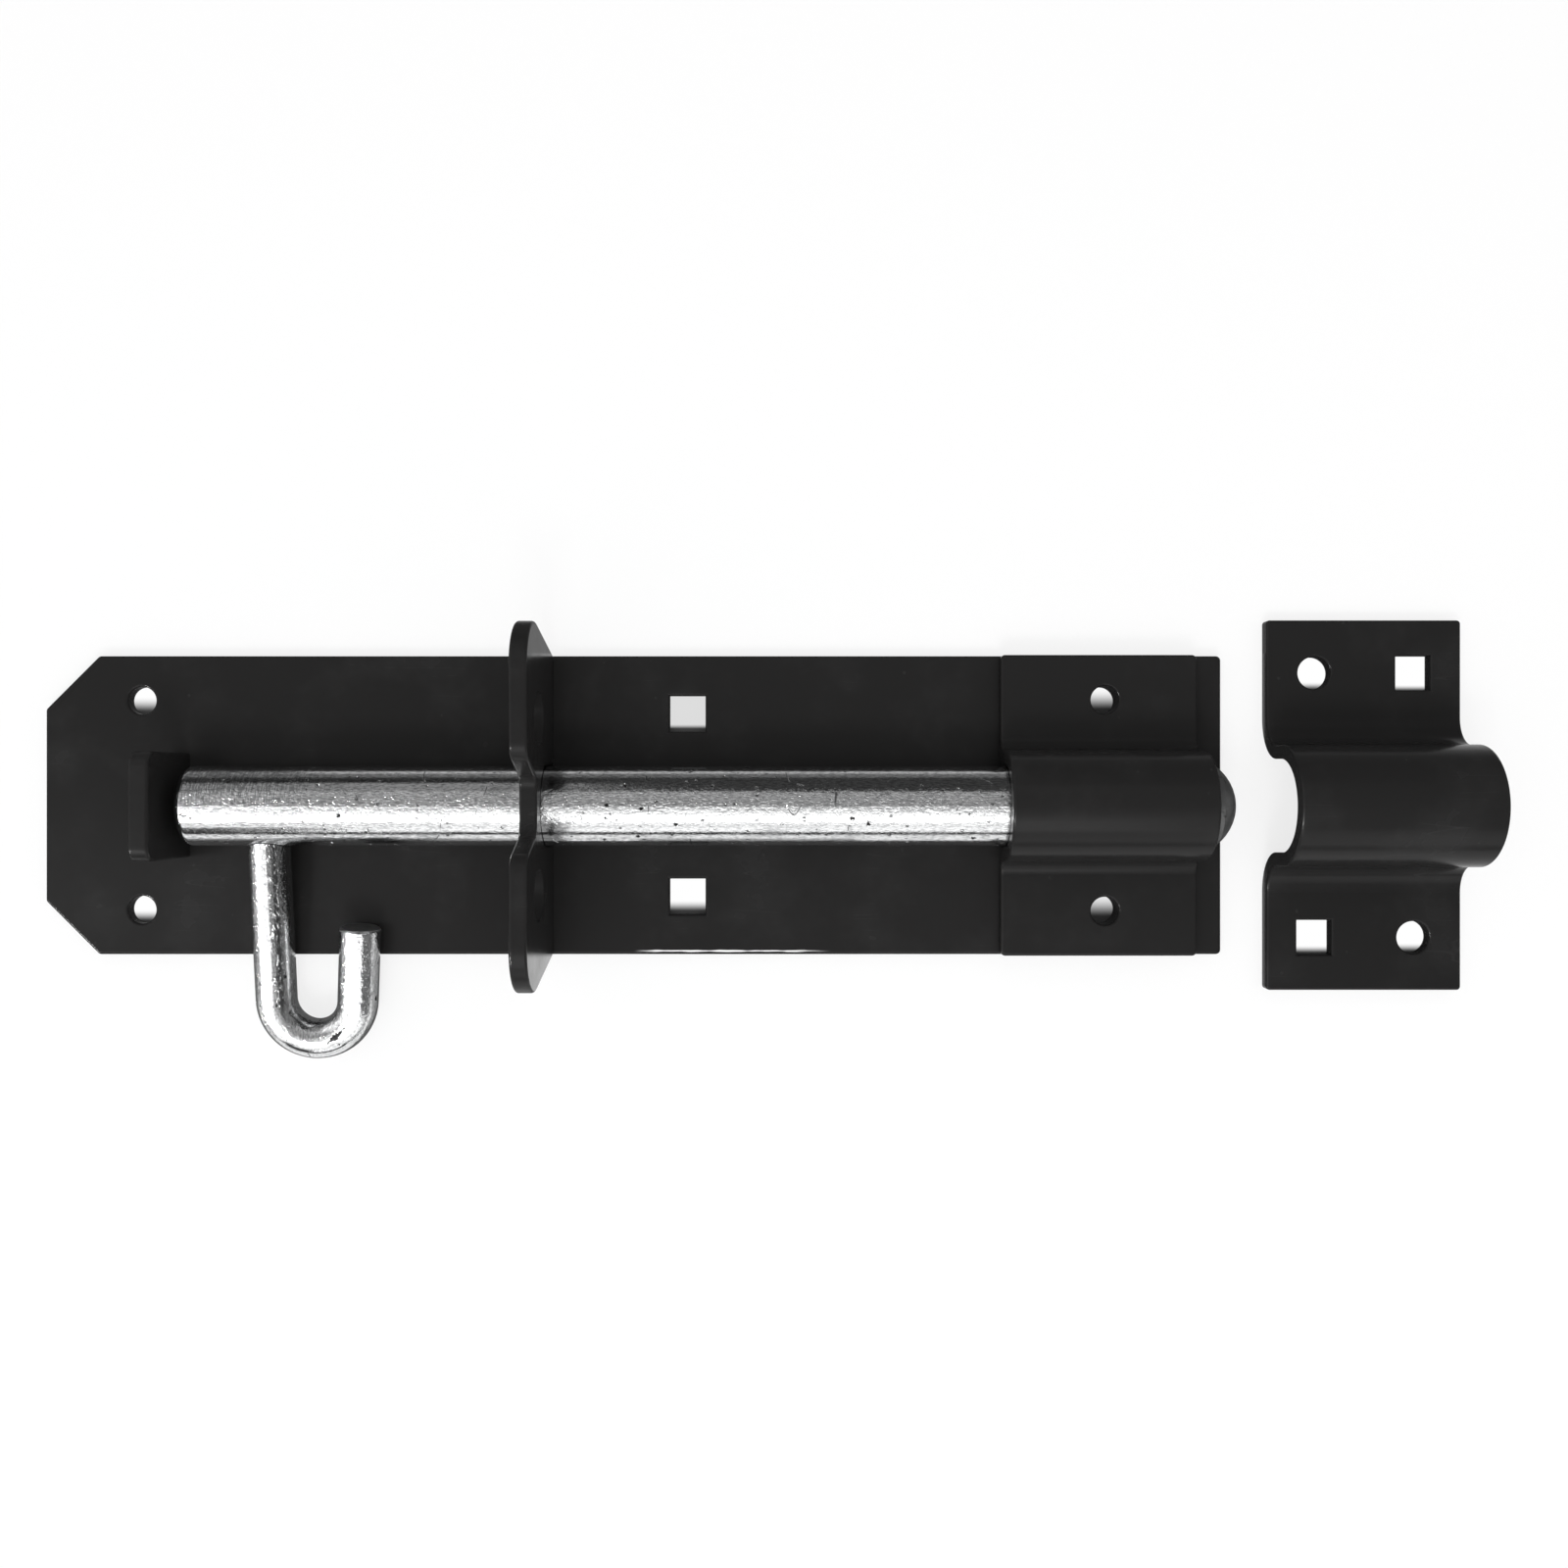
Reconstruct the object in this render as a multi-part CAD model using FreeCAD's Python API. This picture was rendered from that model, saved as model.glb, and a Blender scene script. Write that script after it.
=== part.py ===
"""Padbolt with a round bolt, a hook handle, a two-eared lock plate and a loose keeper.

Millimetres.  The padbolt lies flat on its back: the origin is the centre of the
back plate's rear face, +X is the way the bolt is shot, +Y runs across the plate
and +Z stands out of it.  The bolt is drawn back and the handle rests on the lower
long edge of the plate.
"""
import FreeCAD
import Part
import math
import os

# Sheet metal
SHEET = 3.0
EDGE_ROUND = 0.6
RIM_ROUND = 0.5

# Play between the pieces
GUIDE_PLAY = 0.4
KEEPER_PLAY = 1.5
REST_PLAY = 0.1

# Back plate
PLATE_LENGTH = 254.0
PLATE_WIDTH = 64.5
PLATE_CHAMFER = 11.5
CHAMFER_ROUND = 1.0
PLATE_CORNER = 1.0
SCREW_HOLE = 6.0
SCREW_FROM_END = 20.8
SCREW_FROM_EDGE = 9.65
SQUARE_HOLE = 7.8
SQUARE_FROM_LOCK = 28.9
SQUARE_FROM_EDGE = 12.45

# Bolt bar
BAR_DIAMETER = 16.8
BAR_LIFT = 0.3
BAR_FROM_END = 34.3
BAR_NOSE_RADIUS = 10.5
BAR_REAR_ROUND = 2.0
BOLT_THROW = 32.35

# Pull handle
ROD_DIAMETER = 8.5
HANDLE_FROM_BAR_END = 16.8
HOOK_RADIUS = 8.7
HOOK_CENTRE = 41.7
HOOK_TIP = 26.1
HOOK_SPLAY = 4.0
TIP_CHAMFER = 0.4

# Front saddle
SADDLE_LENGTH = 42.0
SADDLE_FROM_END = 6.0
SADDLE_BEND = 3.0
SADDLE_CORNER = 1.0
SADDLE_SCREW_AHEAD = 1.3

# Keeper
KEEPER_GAP = 9.9
KEEPER_LENGTH = 42.0
KEEPER_HEIGHT = 80.0
KEEPER_BEND = 6.0
KEEPER_CORNER = 0.8
KEEPER_HOLE = 7.0
KEEPER_SQUARE = 7.5
KEEPER_HOLE_FROM_SIDE = 10.3
KEEPER_HOLE_FROM_END = 11.4

# Lock plate
LOCK_THICKNESS = 3.6
LOCK_BRIDGE = 3.7
LOCK_DIP_DEPTH = 11.8
LOCK_DIP_HALF = 5.5
LOCK_DIP_ROUND = 3.0
LOCK_SHOULDER_Y = 10.0
LOCK_SHOULDER_DROP = 0.8
LOCK_SHOULDER_ROUND = 4.0
LOCK_OVERHANG = 7.6
LOCK_EAR_ROUND = 10.0
PADLOCK_HOLE = 11.0
PADLOCK_FROM_EDGE = 14.25
PADLOCK_FROM_TOP = 14.5
LOCK_TENON = 14.0

# End stop
STOP_GAP = 3.1
STOP_THICKNESS = 4.0
STOP_WIDTH = 22.5
STOP_RISE = 12.1
STOP_CORNER = 3.0
STOP_TENON = 12.0

# Tolerance for finding edges, and how far a cutter passes a face
TOUCH = 1e-4
OVERCUT = 1.0

# Places that follow from the sizes
HALF_LENGTH = PLATE_LENGTH / 2
HALF_WIDTH = PLATE_WIDTH / 2
BAR_RADIUS = BAR_DIAMETER / 2
BAR_AXIS_Z = SHEET + BAR_LIFT + BAR_RADIUS
BAR_REAR_X = -HALF_LENGTH + BAR_FROM_END
BAR_NOSE_X = HALF_LENGTH
GUIDE_ARCH = BAR_RADIUS + GUIDE_PLAY
STOP_FRONT_X = BAR_REAR_X - STOP_GAP

# The hook's outline, and the tilt at which its rod lies on the plate's edge
ROD_RADIUS = ROD_DIAMETER / 2
HANDLE_X = BAR_REAR_X + HANDLE_FROM_BAR_END
SPLAY = math.radians(HOOK_SPLAY)
HOOK_LEAVE_X = HANDLE_X + HOOK_RADIUS * (1 + math.cos(SPLAY))
HOOK_LEAVE_Y = -HOOK_CENTRE - HOOK_RADIUS * math.sin(SPLAY)
SHORT_LEG = (-HOOK_TIP - HOOK_LEAVE_Y) / math.cos(SPLAY)
HOOK_FRONT_X = HOOK_LEAVE_X + SHORT_LEG * math.sin(SPLAY) + ROD_RADIUS * math.cos(SPLAY)
AXIS_LIFT = BAR_AXIS_Z - SHEET
HANDLE_TILT = math.degrees(
    math.atan2(AXIS_LIFT, HALF_WIDTH)
    - math.asin((ROD_RADIUS + REST_PLAY) / math.hypot(AXIS_LIFT, HALF_WIDTH))
)

# The lock plate stands where the hook meets it at the end of the throw
LOCK_REAR_X = HOOK_FRONT_X + BOLT_THROW
LOCK_FRONT_X = LOCK_REAR_X + LOCK_THICKNESS
LOCK_DIP_Z = BAR_AXIS_Z + GUIDE_ARCH + LOCK_BRIDGE
LOCK_TOP_Z = LOCK_DIP_Z + LOCK_DIP_DEPTH
LOCK_TENON_Y = (GUIDE_ARCH + HALF_WIDTH) / 2
PADLOCK_Y = HALF_WIDTH - PADLOCK_FROM_EDGE
PADLOCK_Z = LOCK_TOP_Z - PADLOCK_FROM_TOP

SADDLE_X = HALF_LENGTH - SADDLE_FROM_END - SADDLE_LENGTH / 2
SCREW_Y = HALF_WIDTH - SCREW_FROM_EDGE
SCREW_REAR_X = -HALF_LENGTH + SCREW_FROM_END
SCREW_FRONT_X = SADDLE_X + SADDLE_SCREW_AHEAD
SQUARE_X = LOCK_FRONT_X + SQUARE_FROM_LOCK
SQUARE_Y = HALF_WIDTH - SQUARE_FROM_EDGE
KEEPER_X = HALF_LENGTH + KEEPER_GAP + KEEPER_LENGTH / 2
KEEPER_HOLE_X = KEEPER_LENGTH / 2 - KEEPER_HOLE_FROM_SIDE
KEEPER_HOLE_Y = KEEPER_HEIGHT / 2 - KEEPER_HOLE_FROM_END


def vec(x, y, z):
    return FreeCAD.Vector(x, y, z)


ALONG_BOLT = vec(1, 0, 0)
OUT_OF_PLATE = vec(0, 0, 1)


def rounded_face(corners, place):
    """Face with the given (u, v, radius) corners; place turns (u, v) into a point."""
    count = len(corners)
    starts, middles, ends = [], [], []
    for i, (u, v, radius) in enumerate(corners):
        here = vec(u, v, 0)
        before = vec(*corners[i - 1][:2], 0) - here
        after = vec(*corners[(i + 1) % count][:2], 0) - here
        before.normalize()
        after.normalize()
        half = before.getAngle(after) / 2
        setback = radius / math.tan(half)
        inward = before + after
        inward.normalize()
        starts.append(here + before * setback)
        middles.append(here + inward * (radius / math.sin(half) - radius))
        ends.append(here + after * setback)
    edges = []
    for i in range(count):
        start, middle, end = (place(p.x, p.y) for p in (starts[i], middles[i], ends[i]))
        if corners[i][2] > 0:
            edges.append(Part.Arc(start, middle, end).toShape())
        following = starts[(i + 1) % count]
        edges.append(Part.LineSegment(end, place(following.x, following.y)).toShape())
    return Part.Face(Part.Wire(edges))


def round_hole(diameter, x, y, bottom, top):
    deep = top - bottom + 2 * OVERCUT
    return Part.makeCylinder(diameter / 2, deep, vec(x, y, bottom - OVERCUT))


def square_hole(side, x, y, bottom, top):
    deep = top - bottom + 2 * OVERCUT
    return Part.makeBox(side, side, deep, vec(x - side / 2, y - side / 2, bottom - OVERCUT))


def soften(shape, wanted, radius=EDGE_ROUND):
    """Round every edge for which wanted(edge) is true, and what runs on from it."""
    return shape.makeFillet(radius, [edge for edge in shape.Edges if wanted(edge)])


def lies_at_z(edge, z):
    box = edge.BoundBox
    return abs(box.ZMin - z) < TOUCH and abs(box.ZMax - z) < TOUCH


def lies_at_x(edge, places):
    box = edge.BoundBox
    return box.XLength < TOUCH and any(abs(box.XMin - x) < TOUCH for x in places)


def lies_along(edge, axis):
    """True for a straight edge parallel to the axis."""
    if not isinstance(edge.Curve, Part.Line):
        return False
    return abs(abs(edge.tangentAt(edge.FirstParameter).dot(axis)) - 1) < TOUCH


def soften_rims(shape, z, reach, places):
    """Round the rims at height z of the holes at the given (x, y) places."""

    def on_rim(edge):
        middle = edge.CenterOfMass
        near = any(math.hypot(middle.x - x, middle.y - y) < reach for x, y in places)
        return near and lies_at_z(edge, z)

    return soften(shape, on_rim, RIM_ROUND)


def tenons(front_x, thickness, width, centres):
    """Blocks that fill the back plate's slots, flush with its rear face."""
    return [
        Part.makeBox(thickness, width, SHEET, vec(front_x - thickness, y - width / 2, 0))
        for y in centres
    ]


LOCK_TENONS = tenons(LOCK_FRONT_X, LOCK_THICKNESS, LOCK_TENON, (-LOCK_TENON_Y, LOCK_TENON_Y))
STOP_TENONS = tenons(STOP_FRONT_X, STOP_THICKNESS, STOP_TENON, (0,))


def make_back_plate():
    rear_y = HALF_WIDTH - PLATE_CHAMFER
    side_x = -HALF_LENGTH + PLATE_CHAMFER
    outline = rounded_face(
        [
            (-HALF_LENGTH, -rear_y, CHAMFER_ROUND),
            (side_x, -HALF_WIDTH, CHAMFER_ROUND),
            (HALF_LENGTH, -HALF_WIDTH, PLATE_CORNER),
            (HALF_LENGTH, HALF_WIDTH, PLATE_CORNER),
            (side_x, HALF_WIDTH, CHAMFER_ROUND),
            (-HALF_LENGTH, rear_y, CHAMFER_ROUND),
        ],
        lambda u, v: vec(u, v, 0),
    )
    plate = outline.extrude(vec(0, 0, SHEET))
    plate = soften(plate, lambda edge: lies_at_z(edge, SHEET))
    for side in (-1, 1):
        for x in (SCREW_REAR_X, SCREW_FRONT_X):
            plate = plate.cut(round_hole(SCREW_HOLE, x, side * SCREW_Y, 0, SHEET))
        plate = plate.cut(square_hole(SQUARE_HOLE, SQUARE_X, side * SQUARE_Y, 0, SHEET))
        open_holes = [(SCREW_REAR_X, side * SCREW_Y), (SQUARE_X, side * SQUARE_Y)]
        plate = soften_rims(plate, SHEET, SQUARE_HOLE, open_holes)
    return plate.cut(LOCK_TENONS + STOP_TENONS)


def arch_face(half_width, base_z, arch, bend):
    """Section of a strap: flat feet, two bends and a round arch over the bolt."""
    outer = arch + SHEET
    foot_top = base_z + SHEET
    bend_y = outer + bend
    bend_z = foot_top + bend
    quarter = math.pi / 2

    def line(start, end):
        return Part.LineSegment(vec(0, *start), vec(0, *end)).toShape()

    def arc(y, z, radius, first, last):
        points = [
            vec(0, y + radius * math.cos(turn), z + radius * math.sin(turn))
            for turn in (first, (first + last) / 2, last)
        ]
        return Part.Arc(*points).toShape()

    edges = [arc(0, BAR_AXIS_Z, outer, 0, 2 * quarter), arc(0, BAR_AXIS_Z, arch, 0, 2 * quarter)]
    for side in (-1, 1):
        wall = quarter * (1 + side)
        toe = wall + side * quarter
        edges += [
            line((side * outer, BAR_AXIS_Z), (side * outer, bend_z)),
            arc(side * bend_y, bend_z, bend, wall, toe),
            line((side * bend_y, foot_top), (side * half_width, foot_top)),
            line((side * half_width, foot_top), (side * half_width, base_z)),
            line((side * half_width, base_z), (side * bend_y, base_z)),
            arc(side * bend_y, bend_z, bend + SHEET, wall, toe),
            line((side * arch, bend_z), (side * arch, BAR_AXIS_Z)),
        ]
    return Part.Face(Part.Wire(Part.sortEdges(edges)[0]))


def make_strap(centre_x, length, half_width, base_z, arch, bend, corner):
    """Bent strap with rounded corners, its outer edges rolled over by the press."""
    start = centre_x - length / 2
    face = arch_face(half_width, base_z, arch, bend)
    face.translate(vec(start, 0, 0))
    strap = face.extrude(vec(length, 0, 0))

    def at_corner(edge):
        return lies_along(edge, OUT_OF_PLATE) and abs(abs(edge.CenterOfMass.y) - half_width) < TOUCH

    strap = soften(strap, at_corner, corner)
    crown_z = strap.BoundBox.ZMax
    ends = (start, start + length)
    return soften(strap, lambda edge: lies_at_x(edge, ends) and edge.BoundBox.ZMax > crown_z - TOUCH)


def make_front_saddle():
    saddle = make_strap(
        SADDLE_X, SADDLE_LENGTH, HALF_WIDTH, SHEET, GUIDE_ARCH, SADDLE_BEND, SADDLE_CORNER
    )
    for side in (-1, 1):
        saddle = saddle.cut(round_hole(SCREW_HOLE, SCREW_FRONT_X, side * SCREW_Y, SHEET, 2 * SHEET))
        saddle = soften_rims(saddle, 2 * SHEET, SCREW_HOLE, [(SCREW_FRONT_X, side * SCREW_Y)])
    return saddle


def make_keeper():
    keeper = make_strap(
        KEEPER_X, KEEPER_LENGTH, KEEPER_HEIGHT / 2, 0, BAR_RADIUS + KEEPER_PLAY, KEEPER_BEND, KEEPER_CORNER
    )
    for side in (-1, 1):
        y = side * KEEPER_HOLE_Y
        across = side * KEEPER_HOLE_X
        keeper = keeper.cut(round_hole(KEEPER_HOLE, KEEPER_X - across, y, 0, SHEET))
        keeper = keeper.cut(square_hole(KEEPER_SQUARE, KEEPER_X + across, y, 0, SHEET))
        keeper = soften_rims(keeper, SHEET, KEEPER_HOLE, [(KEEPER_X - across, y), (KEEPER_X + across, y)])
    return keeper


def upright(corners, rear_x, thickness):
    """Plate that stands across the bolt, the edges above the back plate rounded."""
    face = rounded_face(corners, lambda u, v: vec(rear_x, u, v))
    plate = face.extrude(vec(thickness, 0, 0))
    faces_x = (rear_x, rear_x + thickness)
    return soften(plate, lambda edge: lies_at_x(edge, faces_x) and not lies_at_z(edge, SHEET))


def make_lock_plate():
    """Upright plate that straddles the bar, with an ear and a padlock hole each side."""
    upper = [
        (HALF_WIDTH, SHEET, 0),
        (HALF_WIDTH + LOCK_OVERHANG, LOCK_TOP_Z, LOCK_EAR_ROUND),
        (LOCK_SHOULDER_Y, LOCK_TOP_Z - LOCK_SHOULDER_DROP, LOCK_SHOULDER_ROUND),
        (LOCK_DIP_HALF, LOCK_DIP_Z, LOCK_DIP_ROUND),
    ]
    lower = [(-u, v, radius) for u, v, radius in reversed(upper)]
    plate = upright(upper + lower, LOCK_REAR_X, LOCK_THICKNESS)

    def drill(radius, y, z):
        return Part.makeCylinder(radius, LOCK_THICKNESS, vec(LOCK_REAR_X, y, z), ALONG_BOLT)

    below_axis = Part.makeBox(
        LOCK_THICKNESS, 2 * GUIDE_ARCH, AXIS_LIFT, vec(LOCK_REAR_X, -GUIDE_ARCH, SHEET)
    )
    padlock_holes = [drill(PADLOCK_HOLE / 2, side * PADLOCK_Y, PADLOCK_Z) for side in (-1, 1)]
    plate = plate.cut([drill(GUIDE_ARCH, 0, BAR_AXIS_Z), below_axis] + padlock_holes)
    return plate.fuse(LOCK_TENONS).removeSplitter()


def make_end_stop():
    """Upright tab behind the bar that stops it when it is drawn back."""
    half = STOP_WIDTH / 2
    top_z = BAR_AXIS_Z + STOP_RISE
    corners = [
        (half, SHEET, 0),
        (half, top_z, STOP_CORNER),
        (-half, top_z, STOP_CORNER),
        (-half, SHEET, 0),
    ]
    stop = upright(corners, STOP_FRONT_X - STOP_THICKNESS, STOP_THICKNESS)
    return stop.fuse(STOP_TENONS).removeSplitter()


def make_bolt_bar():
    """Round bar with a domed nose and a rounded sawn end, turned about its axis."""
    radius = BAR_RADIUS
    dome_x = BAR_NOSE_X - BAR_NOSE_RADIUS
    dome_angle = math.asin(radius / BAR_NOSE_RADIUS)
    corner = BAR_REAR_ROUND * (1 - math.sqrt(0.5))

    def on_dome(angle):
        return vec(
            dome_x + BAR_NOSE_RADIUS * math.cos(angle), 0, BAR_NOSE_RADIUS * math.sin(angle)
        )

    rear_centre = vec(BAR_REAR_X, 0, 0)
    rear_rim = vec(BAR_REAR_X, 0, radius - BAR_REAR_ROUND)
    rear_side = vec(BAR_REAR_X + BAR_REAR_ROUND, 0, radius)
    edges = [
        Part.LineSegment(rear_centre, rear_rim),
        Part.Arc(rear_rim, vec(BAR_REAR_X + corner, 0, radius - corner), rear_side),
        Part.LineSegment(rear_side, on_dome(dome_angle)),
        Part.Arc(on_dome(dome_angle), on_dome(dome_angle / 2), on_dome(0)),
        Part.LineSegment(on_dome(0), rear_centre),
    ]
    half_section = Part.Face(Part.Wire([edge.toShape() for edge in edges]))
    bar = half_section.revolve(vec(0, 0, 0), ALONG_BOLT, 360)
    bar.translate(vec(0, 0, BAR_AXIS_Z))
    return bar


def make_pull_handle():
    """Rod bent into a hook, its upper end mouthed to sit round the bar."""
    section = Part.makeCircle(ROD_RADIUS, vec(HANDLE_X, -HOOK_CENTRE, 0), vec(0, 1, 0))
    disc = Part.Face(Part.Wire(section))
    bend_centre = vec(HANDLE_X + HOOK_RADIUS, -HOOK_CENTRE, 0)
    bend_angle = 180 - HOOK_SPLAY
    long_leg = disc.extrude(vec(0, HOOK_CENTRE, 0))
    bend = disc.revolve(bend_centre, OUT_OF_PLATE, bend_angle)
    end_disc = disc.copy()
    end_disc.rotate(bend_centre, OUT_OF_PLATE, bend_angle)
    rise = vec(math.sin(SPLAY), math.cos(SPLAY), 0) * SHORT_LEG
    short_leg = end_disc.extrude(rise)
    tip = vec(HOOK_LEAVE_X, HOOK_LEAVE_Y, 0) + rise
    rim = [e for e in short_leg.Edges if e.CenterOfMass.distanceToPoint(tip) < TOUCH]
    short_leg = short_leg.makeChamfer(TIP_CHAMFER, rim)
    handle = long_leg.fuse([bend, short_leg]).removeSplitter()
    mouth = Part.makeCylinder(
        BAR_RADIUS + REST_PLAY, 2 * ROD_DIAMETER, vec(HANDLE_X - ROD_DIAMETER, 0, 0), ALONG_BOLT
    )
    handle = handle.cut(mouth)
    handle.rotate(vec(0, 0, 0), ALONG_BOLT, HANDLE_TILT)
    handle.translate(vec(0, 0, BAR_AXIS_Z))
    return handle


PIECES = {
    "back_plate": make_back_plate,
    "end_stop": make_end_stop,
    "lock_plate": make_lock_plate,
    "front_saddle": make_front_saddle,
    "bolt_bar": make_bolt_bar,
    "pull_handle": make_pull_handle,
    "keeper": make_keeper,
}

os.makedirs("parts", exist_ok=True)
for node, make in PIECES.items():
    shape = make()
    if shape.ShapeType != "Solid":
        shape = shape.Solids[0]
    shape.exportStep("parts/" + node + ".step")
    box = shape.BoundBox
    print(
        node, "valid", shape.isValid(), "volume", round(shape.Volume, 1),
        "box", [round(v, 2) for v in (box.XMin, box.YMin, box.ZMin, box.XMax, box.YMax, box.ZMax)],
    )
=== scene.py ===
"""Finishes the padbolt in black stoved enamel and worn bright zinc, and sets it on a pale studio floor.

Metres.  +X is the way the bolt is shot, +Y runs across the back plate and +Z stands out of it.
"""
import math

import bpy
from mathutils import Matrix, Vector


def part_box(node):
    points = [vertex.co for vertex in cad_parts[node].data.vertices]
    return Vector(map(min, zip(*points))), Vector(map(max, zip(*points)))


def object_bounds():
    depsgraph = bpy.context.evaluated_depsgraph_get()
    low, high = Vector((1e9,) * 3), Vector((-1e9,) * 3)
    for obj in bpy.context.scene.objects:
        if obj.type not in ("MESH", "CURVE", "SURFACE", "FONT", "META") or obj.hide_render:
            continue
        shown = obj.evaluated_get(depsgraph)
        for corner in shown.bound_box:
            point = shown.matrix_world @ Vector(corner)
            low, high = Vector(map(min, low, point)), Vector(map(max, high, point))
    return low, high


bl_info = {
    "name": "Padbolt Finishes",
    "version": (1, 0, 0),
    "blender": (4, 5, 0),
    "location": "View3D > Sidebar > Padbolt",
    "description": "Enamel and zinc finishes for a padbolt, with its studio stage",
    "category": "Material",
}

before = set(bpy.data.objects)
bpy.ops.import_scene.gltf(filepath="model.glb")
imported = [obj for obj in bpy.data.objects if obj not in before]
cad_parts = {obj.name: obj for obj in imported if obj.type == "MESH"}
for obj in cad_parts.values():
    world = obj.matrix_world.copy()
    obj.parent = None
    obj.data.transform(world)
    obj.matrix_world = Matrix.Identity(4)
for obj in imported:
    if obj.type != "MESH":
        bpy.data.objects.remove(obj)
CAD_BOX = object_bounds()

ENAMELLED = ("back_plate", "end_stop", "lock_plate", "front_saddle", "keeper")
WHITE = (1.0, 1.0, 1.0, 1.0)
HOLE_SHADE = (0.12, 0.12, 0.12, 1.0)
NO_TURN = (0.0, 0.0, 0.0)
FACING_Y = (math.pi / 2, 0.0, 0.0)
FACING_X = (0.0, math.pi / 2, 0.0)

# Cards that only mirrors see: name, centre, size, turn and grey
CARDS = (
    ("ceiling_card", (0.0, 0.6, 3.0), (8.0, 1.4), NO_TURN, 0.32),
    ("ceiling_front_card", (0.0, -0.37, 3.0), (8.0, 0.54), NO_TURN, 0.5),
    ("ceiling_rear_card", (0.0, 1.9, 3.0), (8.0, 1.2), NO_TURN, 0.4),
    ("rear_wall_card", (2.0, 2.8, 1.8), (4.9, 2.7), FACING_Y, 0.045),
    ("rear_left_card", (-2.475, 2.8, 2.1), (4.05, 2.1), FACING_Y, 0.27),
    ("rear_left_low_card", (-2.475, 2.8, 0.75), (4.05, 0.6), FACING_Y, 0.02),
    ("rear_skirting_card", (0.0, 2.8, 0.225), (9.0, 0.45), FACING_Y, 0.04),
    ("rear_floor_card", (0.0, 1.43, 0.0003), (6.0, 2.74), NO_TURN, 0.16),
    ("rear_near_card", (0.0, 0.0465, 0.0003), (6.0, 0.027), NO_TURN, 0.5),
    ("front_skirting_card", (0.0, -2.97, 0.27), (9.0, 0.54), FACING_Y, 0.01),
    ("front_left_card", (-1.85, -2.98, 0.7), (1.5, 1.4), FACING_Y, 0.06),
    ("window_card", (0.0, -2.99, 1.3), (9.0, 1.7), FACING_Y, 1.3),
    ("front_floor_card", (0.0, -1.53, 0.0003), (6.0, 2.94), NO_TURN, 1.0),
    ("hook_floor_card", (-0.068, -0.0465, 0.0004), (0.056, 0.027), NO_TURN, 0.12),
    ("left_floor_card", (-1.54, 0.0, 0.0004), (2.92, 0.11), NO_TURN, 0.2),
    ("left_skirting_card", (-3.0, 0.0, 0.2), (0.4, 6.0), FACING_X, 0.2),
    ("left_wall_card", (-3.02, 0.0, 0.7), (0.6, 6.0), FACING_X, 0.45),
    ("left_window_card", (-3.04, 0.0, 2.0), (2.0, 6.0), FACING_X, 1.4),
    ("under_plate_card", (0.0, 0.0, 0.0003), (0.25, 0.06), NO_TURN, 0.04),
    ("under_keeper_card", (0.158, 0.0, 0.0003), (0.04, 0.078), NO_TURN, 0.04),
    ("right_floor_card", (0.0, -0.045, 0.0004), (0.1, 0.024), NO_TURN, 0.45),
    ("ear_floor_card", (-0.0095, -0.0382, 0.0005), (0.016, 0.0105), NO_TURN, 1.6),
    ("gap_floor_card", (0.132, 0.0, 0.0003), (0.009, 0.09), NO_TURN, 0.05),
    ("ceiling_front_left_card", (-1.55, -0.37, 2.99), (1.3, 0.54), NO_TURN, 1.7),
    ("side_ceiling_card", (2.25, 0.0, 2.9), (2.1, 6.0), NO_TURN, 0.18),
    ("side_wall_card", (3.3, 0.0, 1.45), (2.9, 6.0), FACING_X, 0.18),
)

# The softbox as mirrors see it, in strips: name, start and end in degrees from upright, and grey
SOFTBOX_STRIPS = (
    ("softbox_edge_card", 7.6, 14.0, 0.57),
    ("softbox_upper_card", 14.0, 21.0, 0.95),
    ("softbox_middle_card", 21.0, 28.0, 1.9),
    ("softbox_face_card", 28.0, 52.0, 2.7),
    ("softbox_lower_card", 52.0, 64.0, 1.05),
)

# The small card that makes the glints in the edges
GLINT_PLACE = (-0.7, -0.42, 0.57)
GLINT_SIZE = (0.16, 0.16)
GLINT_GREY = 150.0

# Marks on the bolt, measured from its ends
NOSE_BARE_START = 0.0105
NOSE_BARE_END = 0.0085
TURNED_START = 0.02
TURNED_END = 0.045
BOLT_ROUGH_REACH = 0.003

# Marks on the handle and the back plate, among them a painted dark reflection on the handle's leg and a
# painted highlight on the plate's lower edge
TIP_REACH = 0.012
TIP_BARE_START = -0.0268
TIP_BARE_END = -0.0262
GASH_X = -0.0625
GASH_Y = -0.049
GASH_COS = 0.76
GASH_SIN = 0.65
HOOK_TOP_Z = 0.005
HANDLE_ROUGH_Y = -0.02
HANDLE_ROUGH_REACH = 0.03
LEG_X = -0.0759
# Where the painted dark reflection on the long leg fades out
LEG_REFLECTION_END = -0.047
LEG_REFLECTION_START = -0.041
PLATE_TOP_Z = 0.002
# Where the painted highlight line lies on the back plate's lower edge
EDGE_HIGHLIGHT_Y = -0.0315
EDGE_HIGHLIGHT_START = 0.0
EDGE_HIGHLIGHT_END = 0.043

# Shade on the floor in each hole: the hole's X and Y, its overall veil, where it is darkest and where clear
HOLE_REACH = 0.006
HOLE_SHADOWS = (
    (-0.1062, 0.0226, 0.0, -0.0023, 0.0011),
    (-0.1062, -0.0226, 0.0, -0.0027, -0.0002),
    (0.0117, 0.0198, 0.3, -0.0032, -0.0021),
    (0.0117, -0.0198, 0.0, -0.0034, -0.0009),
    (0.1013, 0.0226, 0.05, -0.0018, 0.0027),
    (0.1013, -0.0226, 0.15, -0.0018, 0.003),
    (0.1472, 0.0286, 0.0, -0.0034, -0.0017),
    (0.1686, 0.0286, 0.0, -0.0037, -0.0023),
    (0.1472, -0.0286, 0.0, -0.0037, -0.002),
    (0.1686, -0.0286, 0.0, -0.0034, -0.0015),
)


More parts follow.
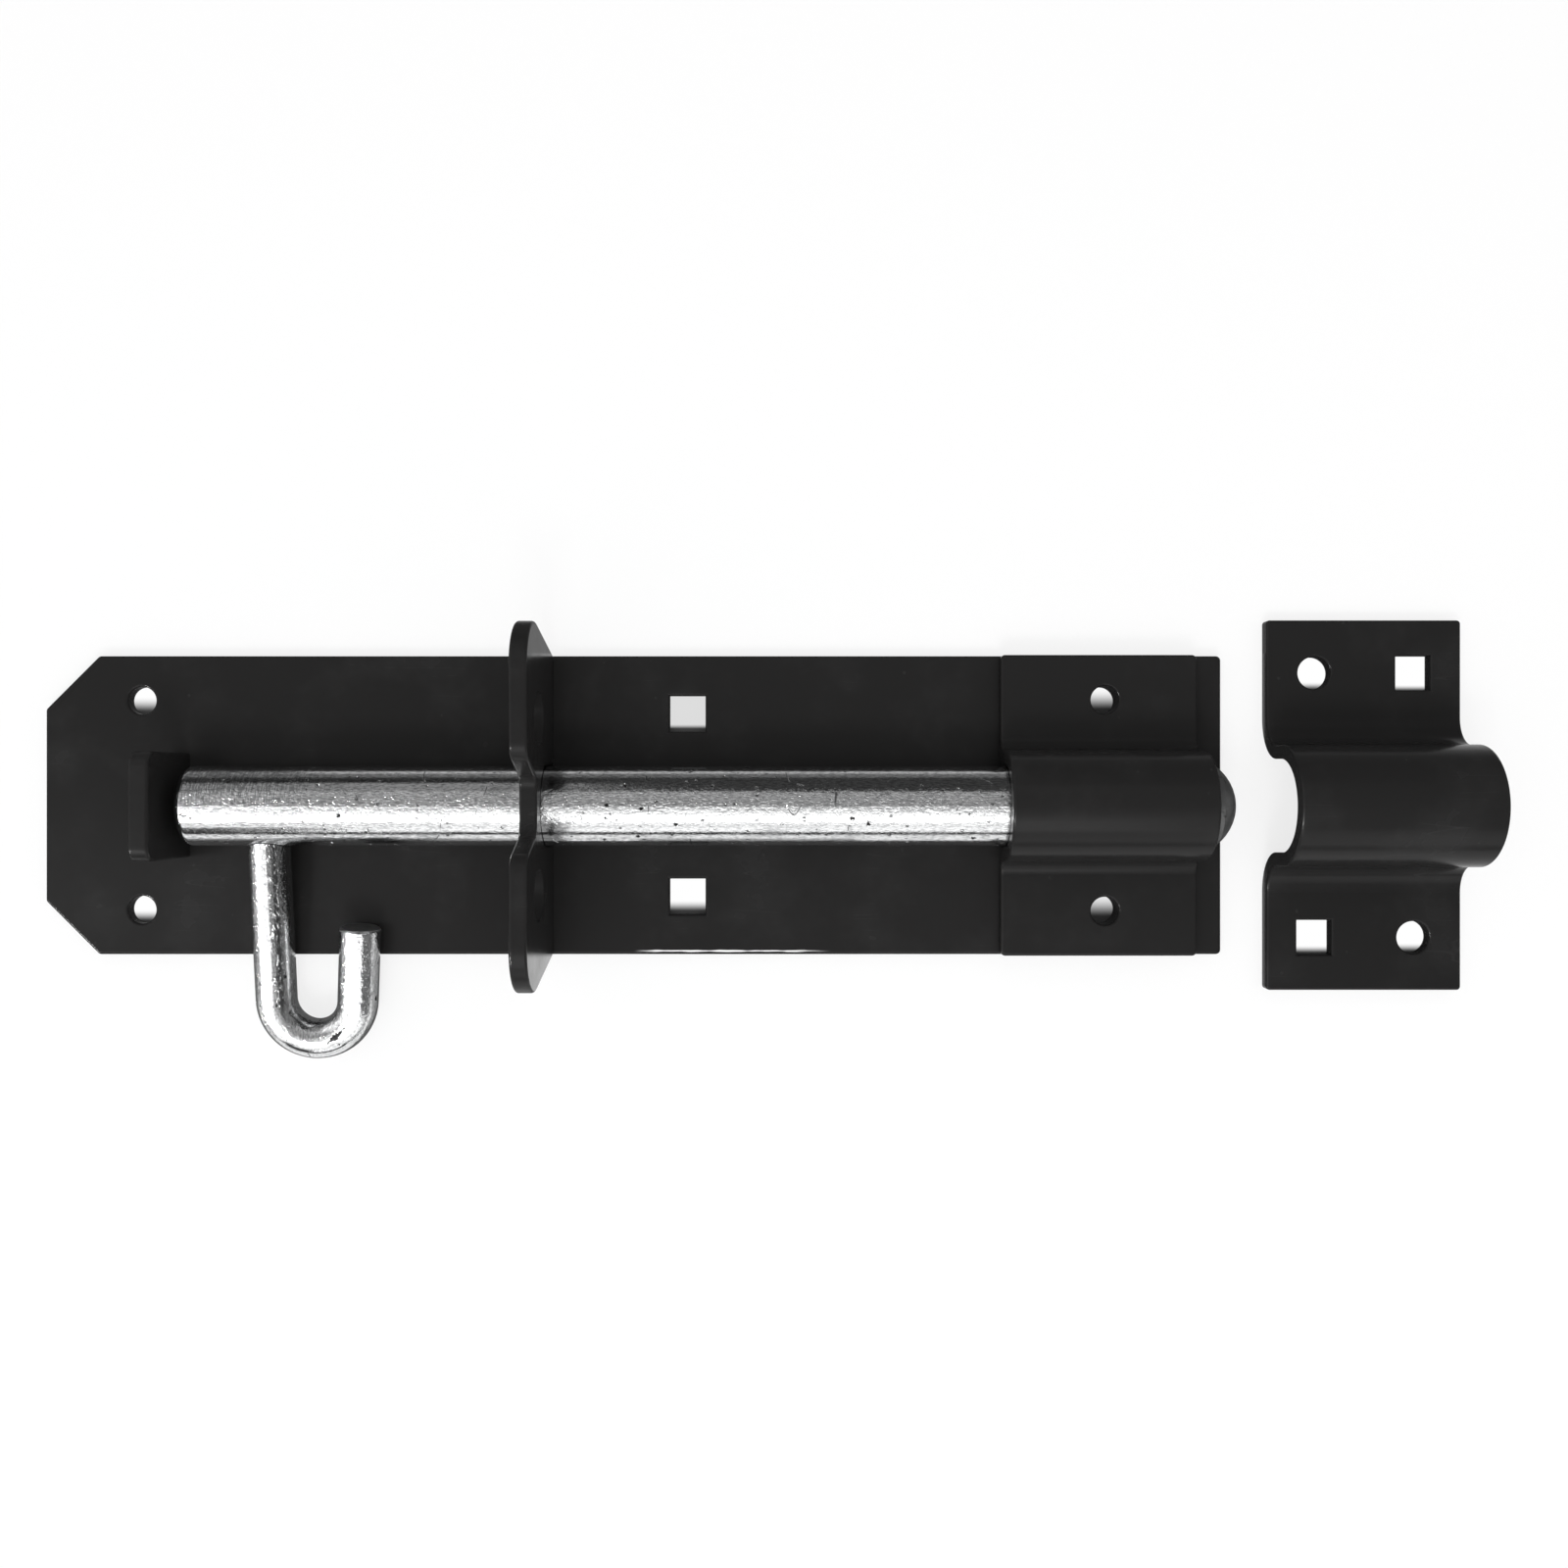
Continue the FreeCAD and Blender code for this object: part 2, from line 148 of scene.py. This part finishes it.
class Signal:
    """A shader socket that takes part in sums as a number does."""

    def __init__(self, shader, socket):
        self.shader = shader
        self.socket = socket

    def _math(self, operation, first, second):
        return self.shader.node("ShaderNodeMath", {"operation": operation}, {0: first, 1: second})

    def __add__(self, other):
        return self._math("ADD", self, other)

    def __radd__(self, other):
        return self._math("ADD", other, self)

    def __sub__(self, other):
        return self._math("SUBTRACT", self, other)

    def __rsub__(self, other):
        return self._math("SUBTRACT", other, self)

    def __mul__(self, other):
        return self._math("MULTIPLY", self, other)

    def __rmul__(self, other):
        return self._math("MULTIPLY", other, self)

    def __abs__(self):
        return self._math("ABSOLUTE", self, 0.0)

    def __gt__(self, other):
        return self._math("GREATER_THAN", self, other)


class Shader:
    """A node tree that is filled one node at a time."""

    def __init__(self, tree):
        self.tree = tree
        tree.nodes.clear()

    def node(self, kind, settings=None, sockets=None, output=0):
        """Add a node, make its settings, fill or link its sockets and return one output."""
        made = self.tree.nodes.new(kind)
        for name, value in (settings or {}).items():
            setattr(made, name, value)
        for key, value in (sockets or {}).items():
            if isinstance(value, Signal):
                self.tree.links.new(value.socket, made.inputs[key])
            else:
                made.inputs[key].default_value = value
        return Signal(self, made.outputs[output]) if made.outputs else None

    def place(self, stretch=(1.0, 1.0, 1.0)):
        """The point on the piece, in metres, multiplied by a stretch along each axis."""
        point = self.node("ShaderNodeTexCoord", output="Object")
        return self.node("ShaderNodeMapping", {"vector_type": "POINT"}, {"Vector": point, "Scale": stretch})

    def noise(self, stretch, detail=2.0, rough=0.5):
        """Noise from 0 to 1 whose grains are 1 / stretch metres long along each axis."""
        return self.node(
            "ShaderNodeTexNoise",
            {"noise_dimensions": "3D"},
            {"Vector": self.place(stretch), "Scale": 1.0, "Detail": detail, "Roughness": rough},
            "Fac",
        )

    def ease(self, value, low, high):
        """0 where value is at low, 1 where it is at high, with a soft step between."""
        return self.node(
            "ShaderNodeMapRange",
            {"interpolation_type": "SMOOTHSTEP", "clamp": True},
            {"Value": value, "From Min": low, "From Max": high},
        )

    def blend(self, amount, first, second):
        """Mix of two colours."""
        return self.node(
            "ShaderNodeMix", {"data_type": "RGBA"}, {0: amount, 6: first, 7: second}, output=2
        )

    def axis(self, name):
        """One coordinate of the point on the piece, in metres."""
        return self.node("ShaderNodeSeparateXYZ", None, {0: self.place()}, name)

    def spots(self, stretch, radius, share):
        """Round spots in cells that are 1 / stretch metres apart; share is how many stay empty."""
        cells = {"Vector": self.place(stretch), "Scale": 1.0}
        near = self.node("ShaderNodeTexVoronoi", {"feature": "F1"}, cells, "Distance")
        pick = self.node("ShaderNodeTexVoronoi", {"feature": "F1"}, cells, "Color")
        chance = self.node("ShaderNodeSeparateColor", None, {0: pick}, "Red")
        ragged = near + 3.0 * radius * (self.noise(tuple(9 * s for s in stretch), 1.0) - 0.5)
        return (1 - self.ease(ragged, radius, 1.4 * radius)) * (chance > share)

    def hairlines(self, stretch, width):
        """Thin wandering lines, drawn along the contours of a noise."""
        return 1 - self.ease(abs(self.noise(stretch, 0.0) - 0.5), 0.0, width)

    def bump(self, height):
        """A normal that follows a height in metres."""
        sockets = {"Strength": 1.0, "Distance": 0.001, "Height": height * 1000.0}
        return self.node("ShaderNodeBump", None, sockets)


def new_material(name):
    material = bpy.data.materials.new(name)
    material.use_nodes = True
    return material, Shader(material.node_tree)


def dress(node, material):
    """Put the material on every slot of a node's own object."""
    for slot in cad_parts[node].material_slots:
        slot.material = material


class EnamelFinish(bpy.types.PropertyGroup):
    """Black stoved enamel on the sheet metal."""

    colour: bpy.props.FloatVectorProperty(
        name="Colour", description="Colour of the enamel", subtype="COLOR", size=3,
        min=0.0, max=1.0, default=(0.0169, 0.0165, 0.0164),
    )
    scuff_colour: bpy.props.FloatVectorProperty(
        name="Scuff colour", description="Colour of scuffs and dust", subtype="COLOR", size=3,
        min=0.0, max=1.0, default=(0.034, 0.0335, 0.0335),
    )
    # This colour paints a highlight line on the back plate's lower edge, where the rounded edge would glint
    edge_highlight_colour: bpy.props.FloatVectorProperty(
        name="Rubbed colour", description="Colour of the steel under the enamel", subtype="COLOR", size=3,
        min=0.0, max=1.0, default=(0.9, 0.9, 0.9),
    )
    roughness: bpy.props.FloatProperty(
        name="Roughness", description="Roughness of clean enamel", subtype="FACTOR",
        min=0.0, max=1.0, default=0.2,
    )
    peel_size: bpy.props.FloatProperty(
        name="Peel size", description="Width of the ripples in the enamel", unit="LENGTH", default=0.0018,
    )
    peel_depth: bpy.props.FloatProperty(
        name="Peel depth", description="Height of the ripples in the enamel", unit="LENGTH", default=0.000007,
    )
    smudge_size: bpy.props.FloatProperty(
        name="Smudge size", description="Width of the handling marks", unit="LENGTH", default=0.02,
    )
    dust_spacing: bpy.props.FloatProperty(
        name="Dust spacing", description="Distance between specks of dust", unit="LENGTH", default=0.005,
    )


class ZincFinish(bpy.types.PropertyGroup):
    """Bright zinc plate on the bolt and its handle."""

    colour: bpy.props.FloatVectorProperty(
        name="Colour", description="Colour of clean zinc", subtype="COLOR", size=3,
        min=0.0, max=1.0, default=(0.82, 0.825, 0.83),
    )
    dull_colour: bpy.props.FloatVectorProperty(
        name="Dull colour", description="Colour of stained zinc", subtype="COLOR", size=3,
        min=0.0, max=1.0, default=(0.47, 0.475, 0.48),
    )
    pit_colour: bpy.props.FloatVectorProperty(
        name="Pit colour", description="Colour at the bottom of a pit", subtype="COLOR", size=3,
        min=0.0, max=1.0, default=(0.03, 0.03, 0.03),
    )
    bare_colour: bpy.props.FloatVectorProperty(
        name="Bare colour", description="Colour of the sawn and turned ends", subtype="COLOR", size=3,
        min=0.0, max=1.0, default=(0.09, 0.09, 0.09),
    )
    roughness: bpy.props.FloatProperty(
        name="Roughness", description="Roughness of clean zinc", subtype="FACTOR",
        min=0.0, max=1.0, default=0.09,
    )
    grain_size: bpy.props.FloatProperty(
        name="Grain size", description="Width of the mottle in the plating", unit="LENGTH", default=0.0008,
    )
    grain_depth: bpy.props.FloatProperty(
        name="Grain depth", description="Height of the mottle in the plating", unit="LENGTH", default=0.0001,
    )
    streak_length: bpy.props.FloatProperty(
        name="Streak length", description="Length of the drawing marks", unit="LENGTH", default=0.007,
    )
    streak_depth: bpy.props.FloatProperty(
        name="Streak depth", description="Height of the drawing marks", unit="LENGTH", default=0.000022,
    )
    pit_spacing: bpy.props.FloatProperty(
        name="Pit spacing", description="Distance between the places where a pit can be", unit="LENGTH",
        default=0.003,
    )


class StudioStage(bpy.types.PropertyGroup):
    """Floor, light and camera."""

    floor_colour: bpy.props.FloatVectorProperty(
        name="Floor colour", description="Colour of the floor", subtype="COLOR", size=3,
        min=0.0, max=1.0, default=(0.95, 0.95, 0.95),
    )
    floor_reach: bpy.props.FloatProperty(
        name="Floor reach", description="Distance from the padbolt to the floor's edge", unit="LENGTH",
        default=12.0,
    )
    floor_glow: bpy.props.FloatProperty(
        name="Floor glow", description="Share of the floor's white that shadows do not take away",
        subtype="FACTOR", min=0.0, max=1.0, default=0.78,
    )
    sky_light: bpy.props.FloatProperty(
        name="Sky light", description="Level of the light from all round", min=0.0, default=0.8,
    )
    softbox_place: bpy.props.FloatVectorProperty(
        name="Softbox place", description="Centre of the softbox", subtype="TRANSLATION", size=3,
        default=(-0.12, -0.58, 0.82),
    )
    softbox_size: bpy.props.FloatVectorProperty(
        name="Softbox size", description="Width and height of the softbox", unit="LENGTH", size=2,
        default=(1.0, 1.05),
    )
    softbox_power: bpy.props.FloatProperty(
        name="Softbox power", description="Power of the softbox", unit="POWER", default=2.0,
    )
    lamp_place: bpy.props.FloatVectorProperty(
        name="Lamp place", description="Centre of the small lamp", subtype="TRANSLATION", size=3,
        default=(0.0, -0.46, 0.64),
    )
    lamp_size: bpy.props.FloatVectorProperty(
        name="Lamp size", description="Width and height of the small lamp", unit="LENGTH", size=2,
        default=(0.2, 0.16),
    )
    lamp_power: bpy.props.FloatProperty(
        name="Lamp power", description="Power of the small lamp", unit="POWER", default=1.5,
    )
    camera_place: bpy.props.FloatVectorProperty(
        name="Camera place", description="The camera looks straight down from here", subtype="TRANSLATION",
        size=3, default=(0.03258, 0.00458, 0.311),
    )
    camera_lens: bpy.props.FloatProperty(
        name="Camera lens", description="Focal length", unit="CAMERA", default=32.72,
    )


def painted_edge_highlight(shader):
    """A painted highlight: a bright line on the back plate's lower edge, put into the enamel's colour where
    the rounded edge would glint.
    """
    along = shader.axis("X")
    beside = abs(shader.axis("Y") - EDGE_HIGHLIGHT_Y) + 0.0004 * (shader.noise((260.0, 900.0, 900.0), 1.0) - 0.5)
    begun = shader.ease(along, EDGE_HIGHLIGHT_START, EDGE_HIGHLIGHT_START + 0.006)
    ended = shader.ease(along, EDGE_HIGHLIGHT_END - 0.01, EDGE_HIGHLIGHT_END)
    line = 1 - shader.ease(beside, 0.00008, 0.00025)
    return line * begun * (1 - ended) * (shader.axis("Z") > PLATE_TOP_Z)


def enamel_material(finish):
    """Gloss black with orange peel, handling marks, hairline scuffs, a little dust and a painted highlight
    line on the back plate's lower edge.
    """
    material, shader = new_material("black_stoved_enamel")
    smudge = shader.ease(shader.noise((1 / finish.smudge_size,) * 3, 4.0, 0.6), 0.45, 0.75)
    peel = shader.noise((1 / finish.peel_size,) * 3, 1.0)
    dust = shader.spots((1 / finish.dust_spacing,) * 3, 0.05, 0.6)
    scuff = shader.hairlines((22.0, 300.0, 300.0), 0.006) * shader.ease(smudge, 0.3, 0.8)
    marks = 0.3 * smudge + 0.5 * dust + 0.3 * scuff
    paint = shader.blend(marks, (*finish.colour, 1.0), (*finish.scuff_colour, 1.0))
    surface = shader.node(
        "ShaderNodeBsdfPrincipled",
        None,
        {
            # The base colour carries a painted highlight along the back plate's lower edge
            "Base Color": shader.blend(painted_edge_highlight(shader), paint, (*finish.edge_highlight_colour, 1.0)),
            "Roughness": finish.roughness + 0.1 * smudge + 0.12 * scuff,
            "Specular IOR Level": 0.1,
            "Normal": shader.bump(peel * finish.peel_depth - scuff * 0.000001),
        },
    )
    shader.node("ShaderNodeOutputMaterial", None, {"Surface": surface})
    return material


def zinc_material(name, finish, along, mottle, bare, turned, marked, rough_y, rough_reach):
    """Bright zinc with mottle, drawing marks along the stock, scratches, stains and pits.

    mottle scales the flecks and the grain.  bare(shader) gives the share of unplated steel,
    turned(shader) that of the marks across the stock and marked(shader) that of dark marks.
    The plating is rough within rough_reach of rough_y and smoother beyond.
    """
    material, shader = new_material(name)

    def stretched(length, width):
        return tuple(1 / length if axis else 1 / width for axis in along)

    fine = finish.grain_size
    grain = shader.noise(stretched(1.5 * fine, fine), 3.0, 0.6)
    grit = shader.noise(stretched(0.5 * fine, 0.3 * fine), 1.0)
    streak = shader.noise(stretched(finish.streak_length, 0.45 * fine), 2.0)
    stain = shader.ease(shader.noise(stretched(0.009, 0.005), 4.0, 0.65), 0.5, 0.78)
    pit = shader.spots(stretched(1.2 * finish.pit_spacing, finish.pit_spacing), 0.1, 0.68)
    crowd = shader.ease(shader.noise((120.0, 200.0, 200.0), 1.0), 0.44, 0.54)
    speck = crowd * shader.spots(stretched(0.7 * finish.pit_spacing, 0.55 * finish.pit_spacing), 0.13, 0.5)
    struck = shader.ease(shader.noise((260.0, 260.0, 260.0), 1.0), 0.58, 0.66)
    gouge = struck * shader.hairlines(stretched(0.006, 0.011), 0.01)
    across = shader.ease(shader.noise(stretched(0.0003, 0.0022), 1.0), 0.42, 0.6) * turned(shader)
    ding = shader.ease(shader.noise(stretched(0.9 * fine, 0.4 * fine), 1.0), 0.56, 0.68)
    fleck = shader.ease(shader.noise(stretched(1.5 * fine, 0.36 * fine), 2.0, 0.65), 0.42, 0.64)
    steel = bare(shader)
    # dark takes pits, specks, gouges and marked(shader); on the handle that includes a painted dark
    # reflection along the long leg
    dark = shader.node("ShaderNodeClamp", None, {0: pit + 0.8 * speck + 0.8 * gouge + marked(shader)})
    dull = shader.node("ShaderNodeClamp", None, {0: 0.6 * stain + 0.75 * across + 0.8 * mottle * fleck})
    metal = shader.blend(dull, (*finish.colour, 1.0), (*finish.dull_colour, 1.0))
    metal = shader.blend(steel, metal, (*finish.bare_colour, 1.0))
    away = shader.ease(abs(shader.axis("Y") - rough_y), rough_reach, rough_reach + 0.001)
    calm = mottle - 0.8 * mottle * away
    height = grain * finish.grain_depth + streak * finish.streak_depth + grit * (0.2 * finish.grain_depth)
    height = calm * (height - ding * (0.25 * finish.grain_depth)) - dark * 0.00008 - across * 0.00002
    surface = shader.node(
        "ShaderNodeBsdfPrincipled",
        None,
        {
            "Base Color": shader.blend(dark, metal, (*finish.pit_colour, 1.0)),
            "Metallic": 1 - 0.6 * steel,
            "Roughness": finish.roughness + 0.12 * stain + 0.04 * dark + 0.25 * steel + 0.06 * grit,
            "Normal": shader.bump(height),
        },
    )
    shader.node("ShaderNodeOutputMaterial", None, {"Surface": surface})
    return material


def hook_gash(shader):
    """A short dark gash across the bend of the hook."""
    right = shader.axis("X") - GASH_X
    up = shader.axis("Y") - GASH_Y
    along = abs(GASH_COS * right + GASH_SIN * up)
    ragged = 0.0012 * (shader.noise((1800.0, 1800.0, 1800.0), 1.0) - 0.5)
    beside = abs(GASH_COS * up - GASH_SIN * right) + ragged
    return 1 - shader.ease(0.7 * along + 2.6 * beside, 0.0015, 0.002)


def leg_dark_reflection(shader):
    """A painted dark reflection: a grainy dark band along the right side of the hook's long leg, where the
    rod would mirror dark surroundings.
    """
    off_leg = shader.axis("X") - LEG_X
    band = shader.ease(off_leg, 0.0005, 0.001) * (1 - shader.ease(off_leg, 0.0024, 0.0032))
    grain = shader.ease(shader.noise((1100.0, 500.0, 1100.0), 2.0, 0.6), 0.3, 0.5)
    return band * grain * shader.ease(shader.axis("Y"), LEG_REFLECTION_END, LEG_REFLECTION_START)


def seen_directly(shader):
    """1 for rays from the camera, a mirror or glass, 0 for light that spreads."""
    kinds = ("Camera", "Glossy", "Transmission")
    return sum(shader.node("ShaderNodeLightPath", output=f"Is {kind} Ray") for kind in kinds)


def hole_floor(shader):
    """Where the floor lies under a hole, and how far the hole's lower side shades it there."""
    inside = 0.0
    shadow = 0.0
    for x, y, veil, dark, light in HOLE_SHADOWS:
        across = shader.axis("X") - x
        up = shader.axis("Y") - y
        here = (1 - (abs(across) > HOLE_REACH)) * (1 - (abs(up) > HOLE_REACH))
        inside = inside + here
        shadow = shadow + here * (1 - (1 - veil) * shader.ease(up, dark, light))
    return inside, shadow


def floor_material(stage):
    """Pale floor that looks white, keeps the padbolt's shadow and is shaded inside each hole."""
    material, shader = new_material("studio_floor")
    paint = shader.node("ShaderNodeBsdfDiffuse", None, {"Color": (*stage.floor_colour, 1.0)})
    glow = shader.node("ShaderNodeEmission", None, {"Color": WHITE, "Strength": 1.0})
    dark = shader.node("ShaderNodeBsdfDiffuse", None, {"Color": HOLE_SHADE})
    inside, shadow = hole_floor(shader)
    share = seen_directly(shader) * (stage.floor_glow + (1 - stage.floor_glow) * inside)
    lit = shader.node("ShaderNodeMixShader", None, {0: share, 1: paint, 2: glow})
    surface = shader.node("ShaderNodeMixShader", None, {0: shadow, 1: lit, 2: dark})
    shader.node("ShaderNodeOutputMaterial", None, {"Surface": surface})
    return material


def card_material(name, grey):
    material, shader = new_material(name)
    surface = shader.node("ShaderNodeEmission", None, {"Color": (grey, grey, grey, 1.0), "Strength": 1.0})
    shader.node("ShaderNodeOutputMaterial", None, {"Surface": surface})
    return material


def add_card(name, centre, size, turn, grey):
    """A flat card that only mirrors see; it shapes the reflections in the metal."""
    bpy.ops.object.select_all(action="DESELECT")
    bpy.ops.mesh.primitive_plane_add(size=1.0, location=centre, rotation=turn)
    card = bpy.context.object
    card.name = name
    card.scale = (*size, 1.0)
    card.data.materials.append(card_material(name, grey))
    card.visible_camera = False
    card.visible_diffuse = False
    card.visible_shadow = False


def add_light(name, place, size, power):
    """A rectangular lamp aimed at the padbolt's middle."""
    aim = (Vector(place) * -1).to_track_quat("-Z", "Y").to_euler()
    bpy.ops.object.light_add(type="AREA", location=place, rotation=aim)
    bpy.context.object.name = name
    bpy.context.object.visible_glossy = False
    lamp = bpy.context.object.data
    lamp.shape = "RECTANGLE"
    lamp.size, lamp.size_y = size
    lamp.energy = power


class PADBOLT_OT_enamel(bpy.types.Operator):
    """Finish the sheet metal pieces in black enamel"""

    bl_idname = "padbolt.enamel"
    bl_label = "Enamel the sheet metal"

    def execute(self, context):
        material = enamel_material(context.scene.padbolt_enamel)
        for node in ENAMELLED:
            dress(node, material)
        return {"FINISHED"}


class PADBOLT_OT_bolt(bpy.types.Operator):
    """Finish the bolt bar in bright zinc"""

    bl_idname = "padbolt.bolt"
    bl_label = "Plate the bolt"

    def execute(self, context):
        finish = context.scene.padbolt_zinc
        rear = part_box("bolt_bar")[0].x
        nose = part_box("bolt_bar")[1].x

        def bare(shader):
            return shader.ease(shader.axis("X"), nose - NOSE_BARE_START, nose - NOSE_BARE_END)

        def turned(shader):
            along = shader.axis("X") + 0.02 * shader.noise((60.0, 90.0, 90.0), 1.0)
            upper = shader.ease(shader.axis("Y"), 0.0, 0.001)
            return (1 - shader.ease(along, rear + TURNED_START, rear + TURNED_END)) * upper

        def marked(shader):
            return 0.0

        material = zinc_material(
            "bolt_zinc", finish, along=(1, 0, 0), mottle=1.0, bare=bare, turned=turned, marked=marked,
            rough_y=0.0, rough_reach=BOLT_ROUGH_REACH,
        )
        dress("bolt_bar", material)
        return {"FINISHED"}


class PADBOLT_OT_handle(bpy.types.Operator):
    """Finish the pull handle in bright zinc"""

    bl_idname = "padbolt.handle"
    bl_label = "Plate the handle"

    def execute(self, context):
        finish = context.scene.padbolt_zinc
        tip_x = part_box("pull_handle")[1].x - TIP_REACH

        def bare(shader):
            return shader.ease(shader.axis("Y"), TIP_BARE_START, TIP_BARE_END) * (shader.axis("X") > tip_x)

        def turned(shader):
            return shader.ease(shader.noise((110.0, 110.0, 110.0), 1.0), 0.55, 0.75)

        def marked(shader):
            # The gash is a worn mark; the band along the leg is a painted dark reflection
            return (hook_gash(shader) + 0.75 * leg_dark_reflection(shader)) * (shader.axis("Z") > HOOK_TOP_Z)

        material = zinc_material(
            "handle_zinc", finish, along=(0, 1, 0), mottle=0.75, bare=bare, turned=turned, marked=marked,
            rough_y=HANDLE_ROUGH_Y, rough_reach=HANDLE_ROUGH_REACH,
        )
        dress("pull_handle", material)
        return {"FINISHED"}


class PADBOLT_OT_stage(bpy.types.Operator):
    """Add the floor, the light and the camera"""

    bl_idname = "padbolt.stage"
    bl_label = "Set the stage"

    def execute(self, context):
        stage = context.scene.padbolt_stage
        self.add_floor(stage)
        self.add_light(context, stage)
        self.add_cards(stage)
        self.add_camera(context, stage)
        context.scene.view_settings.view_transform = "Standard"
        return {"FINISHED"}

    def add_floor(self, stage):
        bpy.ops.object.select_all(action="DESELECT")
        lowest = CAD_BOX[0].z
        bpy.ops.mesh.primitive_plane_add(size=2 * stage.floor_reach, location=(0.0, 0.0, lowest - 0.0002))
        floor = bpy.context.object
        floor.name = "floor"
        floor.data.materials.append(floor_material(stage))

    def add_light(self, context, stage):
        world = bpy.data.worlds.new("studio_sky")
        world.use_nodes = True
        context.scene.world = world
        shader = Shader(world.node_tree)
        level = stage.sky_light + (1 - stage.sky_light) * seen_directly(shader)
        sky = shader.node("ShaderNodeBackground", None, {"Color": WHITE, "Strength": level})
        shader.node("ShaderNodeOutputWorld", None, {"Surface": sky})
        add_light("softbox", stage.softbox_place, stage.softbox_size, stage.softbox_power)
        add_light("small_lamp", stage.lamp_place, stage.lamp_size, stage.lamp_power)

    def add_cards(self, stage):
        for name, centre, size, turn, grey in CARDS:
            add_card(name, centre, size, turn, grey)
        for name, start, end, grey in SOFTBOX_STRIPS:
            turn = math.radians((start + end) / 2)
            centre = (stage.softbox_place[0], -math.sin(turn), math.cos(turn))
            size = (stage.softbox_size[0], math.radians(end - start))
            add_card(name, centre, size, (turn, 0.0, 0.0), grey)
        glint = Vector(GLINT_PLACE)
        add_card("glint_card", glint, GLINT_SIZE, glint.to_track_quat("Z", "Y").to_euler(), GLINT_GREY)

    def add_camera(self, context, stage):
        bpy.ops.object.camera_add(location=stage.camera_place, rotation=(0.0, 0.0, 0.0))
        context.scene.camera = context.object
        context.object.data.lens = stage.camera_lens


class PADBOLT_PT_finishes(bpy.types.Panel):
    """Finishes and stage of the padbolt"""

    bl_label = "Padbolt"
    bl_idname = "PADBOLT_PT_finishes"
    bl_space_type = "VIEW_3D"
    bl_region_type = "UI"
    bl_category = "Padbolt"

    def draw(self, context):
        for group, operators in PANEL_ROWS:
            box = self.layout.box()
            settings = getattr(context.scene, group)
            for name in settings.__annotations__:
                box.prop(settings, name)
            for operator in operators:
                box.operator(operator.bl_idname)


PANEL_ROWS = (
    ("padbolt_enamel", (PADBOLT_OT_enamel,)),
    ("padbolt_zinc", (PADBOLT_OT_bolt, PADBOLT_OT_handle)),
    ("padbolt_stage", (PADBOLT_OT_stage,)),
)
GROUPS = {"padbolt_enamel": EnamelFinish, "padbolt_zinc": ZincFinish, "padbolt_stage": StudioStage}
OPERATORS = (PADBOLT_OT_enamel, PADBOLT_OT_bolt, PADBOLT_OT_handle, PADBOLT_OT_stage)


def register():
    for cls in (*GROUPS.values(), *OPERATORS, PADBOLT_PT_finishes):
        bpy.utils.register_class(cls)
    for name, group in GROUPS.items():
        setattr(bpy.types.Scene, name, bpy.props.PointerProperty(type=group))


def unregister():
    for name in GROUPS:
        delattr(bpy.types.Scene, name)
    for cls in (PADBOLT_PT_finishes, *reversed(OPERATORS), *GROUPS.values()):
        bpy.utils.unregister_class(cls)


def main():
    register()
    bpy.ops.padbolt.enamel()
    bpy.ops.padbolt.bolt()
    bpy.ops.padbolt.handle()
    bpy.ops.padbolt.stage()


if __name__ == "__main__":
    main()
